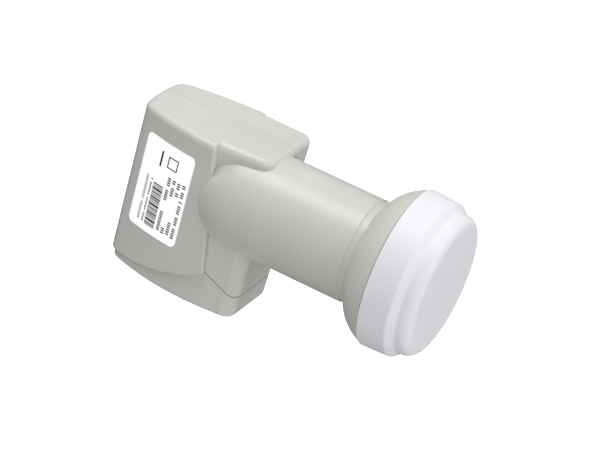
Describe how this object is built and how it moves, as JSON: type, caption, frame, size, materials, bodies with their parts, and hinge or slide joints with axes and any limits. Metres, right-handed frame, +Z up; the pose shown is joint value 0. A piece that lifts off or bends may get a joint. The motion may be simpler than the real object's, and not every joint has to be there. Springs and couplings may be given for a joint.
{
  "type": "satellite lnb",
  "caption": "Grey satellite LNB with a round clamp neck, a white feed cap at the front, a tall moulded converter block and coaxial sockets inside a skirt underneath.",
  "frame": {"origin": "on the neck's axis, in the middle of the clamp length between the block's front wall and the horn bowl", "axes": "+X along the neck towards the feed cap, +Z up, away from the sockets, -Y towards the label panel"},
  "size_m": [0.128, 0.061, 0.0786],
  "materials": {
    "grey_plastic": "fine satin moulding",
    "white_plastic": "satin weather cap",
    "label_paper": "bare coated sticker",
    "cast_paint": "speckled powder paint",
    "cast_alloy": "as cast",
    "black_rubber": "matt",
    "screw_steel": "zinc plated",
    "plated_brass": "nickel plated",
    "contact_brass": "plain",
    "insulator_white": "waxy",
    "board_laminate": "solder mask",
    "chip_resin": "moulded resin",
    "chip_ceramic": "fired"
  },
  "bodies": {
    "root": {"main_housing": "grey_plastic", "side_cover": "grey_plastic", "connector_skirt": "grey_plastic", "rating_label": "label_paper", "feed_horn": "cast_paint", "feed_cap": "white_plastic", "cap_seal": "black_rubber", "waveguide_seal": "black_rubber", "horn_screws": "screw_steel", "chassis": "cast_alloy", "shield_lid": "cast_alloy", "lid_screws": "screw_steel", "circuit_board": "board_laminate", "converter_chip": "chip_resin", "regulator": "chip_resin", "crystal": "screw_steel", "surface_components": "chip_ceramic", "probe_straight": "contact_brass", "probe_bent": "contact_brass", "probe_bushes": "insulator_white", "connector_seals": "black_rubber", "cover_screws": "screw_steel", "f_connector_front": "plated_brass", "f_insulator_front": "insulator_white", "f_contact_front": "contact_brass", "f_connector_rear": "plated_brass", "f_insulator_rear": "insulator_white", "f_contact_rear": "contact_brass"}
  },
  "joints": []
}
